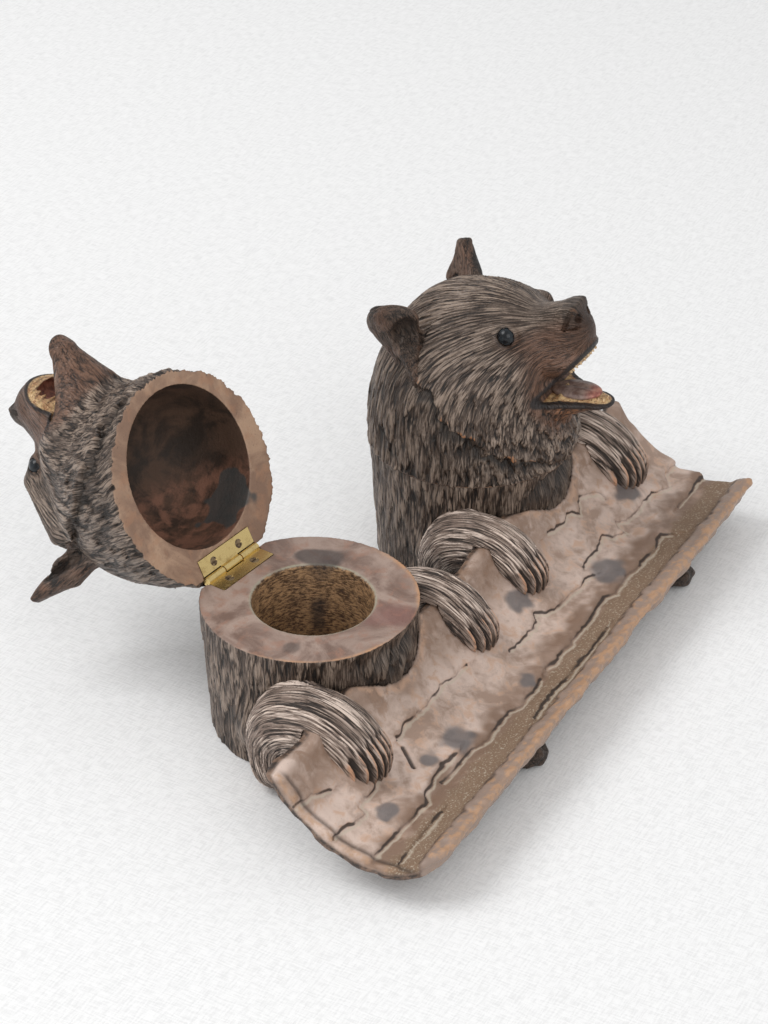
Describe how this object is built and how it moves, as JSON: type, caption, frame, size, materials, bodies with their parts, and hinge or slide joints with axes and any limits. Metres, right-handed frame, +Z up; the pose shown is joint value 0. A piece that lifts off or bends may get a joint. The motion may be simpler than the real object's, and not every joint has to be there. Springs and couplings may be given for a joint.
{
  "type": "desk inkstand",
  "caption": "Carved wooden desk inkstand: bear busts with hinged heads over round inkwells, behind a long bark-shaped pen tray.",
  "frame": {"origin": "middle of the base: the centre of the whole part's footprint, on the surface it stands on, with the left lid open as stored", "axes": "+X along the tray from the left to the right bear, -Y towards the tray's front lip, +Z up"},
  "size_m": [0.24, 0.1964, 0.1097],
  "materials": {
    "tray_wood": "dark stained, worn and dusty",
    "foot_wood": "dark stained, rough carved",
    "fur_wood": "dark stained, carved fur",
    "foreleg_wood": "dark stained, carved fur",
    "head_wood": "dark stained, carved fur",
    "jaw_wood": "red-brown stain with painted gums",
    "tongue_paint": "painted, worn",
    "ear_wood": "dark stained, worn red-brown",
    "eye_glass": "glossy, dark",
    "hinge_brass": "polished, slightly tarnished",
    "pin_brass": "polished, slightly tarnished",
    "screw_steel": "dulled, slotted"
  },
  "bodies": {
    "stand": {"tray": "tray_wood", "left_foot": "foot_wood", "right_foot": "foot_wood", "left_body": "fur_wood", "right_body": "fur_wood", "left_outer_foreleg": "foreleg_wood", "left_inner_foreleg": "foreleg_wood", "right_inner_foreleg": "foreleg_wood", "right_outer_foreleg": "foreleg_wood", "left_body_leaf": "hinge_brass", "right_body_leaf": "hinge_brass", "left_hinge_pin": "pin_brass", "right_hinge_pin": "pin_brass", "left_body_screws": "screw_steel", "right_body_screws": "screw_steel"},
    "left_lid": {"left_head_lid": "head_wood", "left_lower_jaw": "jaw_wood", "left_tongue": "tongue_paint", "left_ears": "ear_wood", "left_eyes": "eye_glass", "left_lid_leaf": "hinge_brass", "left_lid_screws": "screw_steel"},
    "right_lid": {"right_head_lid": "head_wood", "right_lower_jaw": "jaw_wood", "right_tongue": "tongue_paint", "right_ears": "ear_wood", "right_eyes": "eye_glass", "right_lid_leaf": "hinge_brass", "right_lid_screws": "screw_steel"}
  },
  "joints": [
    {"name": "left_lid_hinge", "type": "hinge", "parent": "stand", "child": "left_lid", "pos_m": [-0.04497, 0.01039, 0.04565], "axis": [0.9905, -0.1374, 0], "range_deg": [0, 117]},
    {"name": "right_lid_hinge", "type": "hinge", "parent": "stand", "child": "right_lid", "pos_m": [0.0614, 0.0107, 0.04565], "axis": [-1, 0, 0], "range_deg": [0, 117]}
  ]
}
